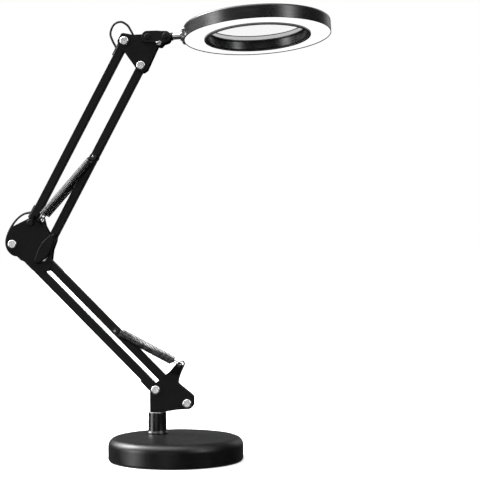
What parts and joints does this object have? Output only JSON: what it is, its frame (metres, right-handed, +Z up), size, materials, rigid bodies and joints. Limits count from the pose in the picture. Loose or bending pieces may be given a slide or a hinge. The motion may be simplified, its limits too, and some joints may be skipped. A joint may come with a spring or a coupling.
{
  "type": "magnifying lamp",
  "caption": "Desk magnifying lamp: round weighted base, spring-balanced folding arms of square tube and a ring-shaped light around a large glass lens.",
  "frame": {"origin": "centre of the underside of the base's non-slip pad", "axes": "+Z up, +X from the base towards the lamp head, +Y away from the front, the side the arms are seen from; the arms fold in a plane parallel to XZ"},
  "size_m": [0.4409, 0.2202, 0.5866],
  "materials": {
    "base_enamel": "satin black paint",
    "post_black": "gloss black paint",
    "cast_weight": "as cast",
    "pad_rubber": "fine foam rubber",
    "zinc_steel": "zinc plated",
    "bracket_black": "fine-grained black powder coat",
    "tube_black": "satin black powder coat",
    "chrome_fasteners": "polished",
    "nylon": "natural nylon",
    "black_washer": "moulded black",
    "spring_steel": "drawn spring wire",
    "gland_black": "moulded black",
    "cable_black": "smooth PVC sheath",
    "fork_black": "satin black paint",
    "ring_black": "gloss black with fine brushed lines",
    "bezel_grey": "dark grey moulding",
    "opal_diffuser": "opal white",
    "circuit_board": "white solder mask",
    "led": "phosphor cap",
    "lens_glass": "polished optical glass"
  },
  "bodies": {
    "base": {"base_shell": "base_enamel", "base_weight": "cast_weight", "base_cover": "zinc_steel", "base_cover_screws": "zinc_steel", "non_slip_pad": "pad_rubber", "stem_post": "post_black", "post_nut": "zinc_steel"},
    "turret": {"stem_pin": "zinc_steel", "lower_bracket_front": "bracket_black", "lower_bracket_back": "bracket_black", "lower_bracket_rivets": "fork_black", "lower_pivot_screws": "chrome_fasteners", "lower_pivot_barrels": "chrome_fasteners", "lower_pivot_washers": "nylon"},
    "lower_bar_a": {"lower_tube_a": "tube_black", "lower_cable_glands": "gland_black", "lower_cable_run": "cable_black"},
    "lower_bar_b": {"lower_tube_b": "tube_black", "lower_spring_pin": "zinc_steel", "lower_spring_washers": "black_washer"},
    "lower_spring": {"lower_spring_coils": "spring_steel"},
    "lower_hook": {"lower_spring_hooks": "spring_steel"},
    "elbow": {"elbow_plate_front": "bracket_black", "elbow_plate_back": "bracket_black", "elbow_cheeks": "bracket_black", "elbow_pivot_screws": "chrome_fasteners", "elbow_pivot_barrels": "chrome_fasteners", "elbow_pivot_washers": "nylon", "elbow_rivet": "fork_black", "elbow_cable": "cable_black"},
    "upper_bar_c": {"upper_tube_c": "tube_black", "upper_cable_glands": "gland_black", "upper_cable_run": "cable_black"},
    "upper_bar_d": {"upper_tube_d": "tube_black", "upper_spring_pin": "zinc_steel", "upper_spring_washers": "black_washer"},
    "upper_spring": {"upper_spring_coils": "spring_steel"},
    "upper_hook": {"upper_spring_hooks": "spring_steel"},
    "head_bracket": {"head_bracket_front": "bracket_black", "head_bracket_back": "bracket_black", "head_pivot_screws": "chrome_fasteners", "head_pivot_barrels": "chrome_fasteners", "head_pivot_washers": "nylon", "top_cable": "cable_black"},
    "fork": {"tilt_fork": "fork_black", "fork_bolts": "fork_black"},
    "clamp": {"clamp_screw": "zinc_steel"},
    "eye": {"swivel_eye": "fork_black"},
    "head": {"head_rod": "chrome_fasteners", "saddle": "chrome_fasteners", "saddle_screws": "chrome_fasteners", "head_housing": "ring_black", "front_bezel": "bezel_grey", "diffuser": "opal_diffuser", "led_board": "circuit_board", "led_chips": "led", "lens": "lens_glass", "lens_retainer": "gland_black"}
  },
  "joints": [
    {"name": "base_swivel", "type": "hinge", "parent": "base", "child": "turret", "pos_m": [-0.0286, 0.033, 0.045], "axis": [0, 0, 1], "continuous": true},
    {"name": "lower_arm", "type": "hinge", "parent": "turret", "child": "lower_bar_a", "pos_m": [-0.0298, 0.033, 0.0885], "axis": [0, 1, 0], "range_deg": [-7, 75]},
    {"name": "lower_arm_twin", "type": "hinge", "parent": "turret", "child": "lower_bar_b", "pos_m": [0.0122, 0.033, 0.0705], "axis": [0, 1, 0], "range_deg": [-7.01, 75.01]},
    {"name": "elbow_level", "type": "hinge", "parent": "lower_bar_a", "child": "elbow", "pos_m": [-0.22287, 0.033, 0.28292], "axis": [0, 1, 0], "range_deg": [-75.01, 7.01], "deforming": ["elbow_cable"]},
    {"name": "upper_arm", "type": "hinge", "parent": "elbow", "child": "upper_bar_c", "pos_m": [-0.19867, 0.033, 0.31202], "axis": [0, 1, 0], "range_deg": [-20, 50]},
    {"name": "upper_arm_twin", "type": "hinge", "parent": "elbow", "child": "upper_bar_d", "pos_m": [-0.17637, 0.033, 0.27892], "axis": [0, 1, 0], "range_deg": [-20.01, 50.01]},
    {"name": "head_level", "type": "hinge", "parent": "upper_bar_c", "child": "head_bracket", "pos_m": [-0.07088, 0.033, 0.5544], "axis": [0, 1, 0], "range_deg": [-50.01, 20.01], "deforming": ["top_cable"]},
    {"name": "lower_spring_pin_turn", "type": "hinge", "parent": "lower_bar_b", "child": "lower_spring", "pos_m": [-0.08363, 0.033, 0.167], "axis": [0, 1, 0], "range_deg": [-3.44, 36.76], "deforming": ["lower_spring_coils"]},
    {"name": "lower_hook_turn", "type": "hinge", "parent": "turret", "child": "lower_hook", "pos_m": [0.0024, 0.033, 0.1218], "axis": [0, 1, 0], "range_deg": [-10.44, 111.76]},
    {"name": "upper_spring_pin_turn", "type": "hinge", "parent": "upper_bar_d", "child": "upper_spring", "pos_m": [-0.11271, 0.033, 0.39967], "axis": [0, 1, 0], "range_deg": [-1.61, 4.01], "deforming": ["upper_spring_coils"]},
    {"name": "upper_hook_turn", "type": "hinge", "parent": "elbow", "child": "upper_hook", "pos_m": [-0.18687, 0.033, 0.31592], "axis": [0, 1, 0], "range_deg": [-21.61, 54.01]},
    {"name": "head_tilt", "type": "hinge", "parent": "head_bracket", "child": "fork", "pos_m": [-0.03918, 0.033, 0.5597], "axis": [0, 1, 0], "range_deg": [-70, 40]},
    {"name": "clamp_turn", "type": "hinge", "parent": "fork", "child": "clamp", "pos_m": [-0.02328, 0.033, 0.5504], "axis": [0, 1, 0], "range_deg": [-180, 180]},
    {"name": "rod_swivel", "type": "hinge", "parent": "fork", "child": "eye", "pos_m": [-0.01528, 0.033, 0.5603], "axis": [0, 1, 0], "range_deg": [-45, 45]},
    {"name": "ring_roll", "type": "hinge", "parent": "eye", "child": "head", "pos_m": [-0.01528, 0.033, 0.5603], "axis": [0.9982, 0, 0.0593], "range_deg": [-160, 160]}
  ],
  "couplings": [
    {"joint": "lower_arm_twin", "follows": "lower_arm", "ratio": 1},
    {"joint": "elbow_level", "follows": "lower_arm", "ratio": -1},
    {"joint": "upper_arm_twin", "follows": "upper_arm", "ratio": 1},
    {"joint": "head_level", "follows": "upper_arm", "ratio": -1},
    {"joint": "lower_spring_pin_turn", "follows": "lower_arm", "ratio": 0.49},
    {"joint": "lower_hook_turn", "follows": "lower_arm", "ratio": 1.49},
    {"joint": "upper_spring_pin_turn", "follows": "upper_arm", "ratio": 0.08},
    {"joint": "upper_hook_turn", "follows": "upper_arm", "ratio": 1.08}
  ]
}
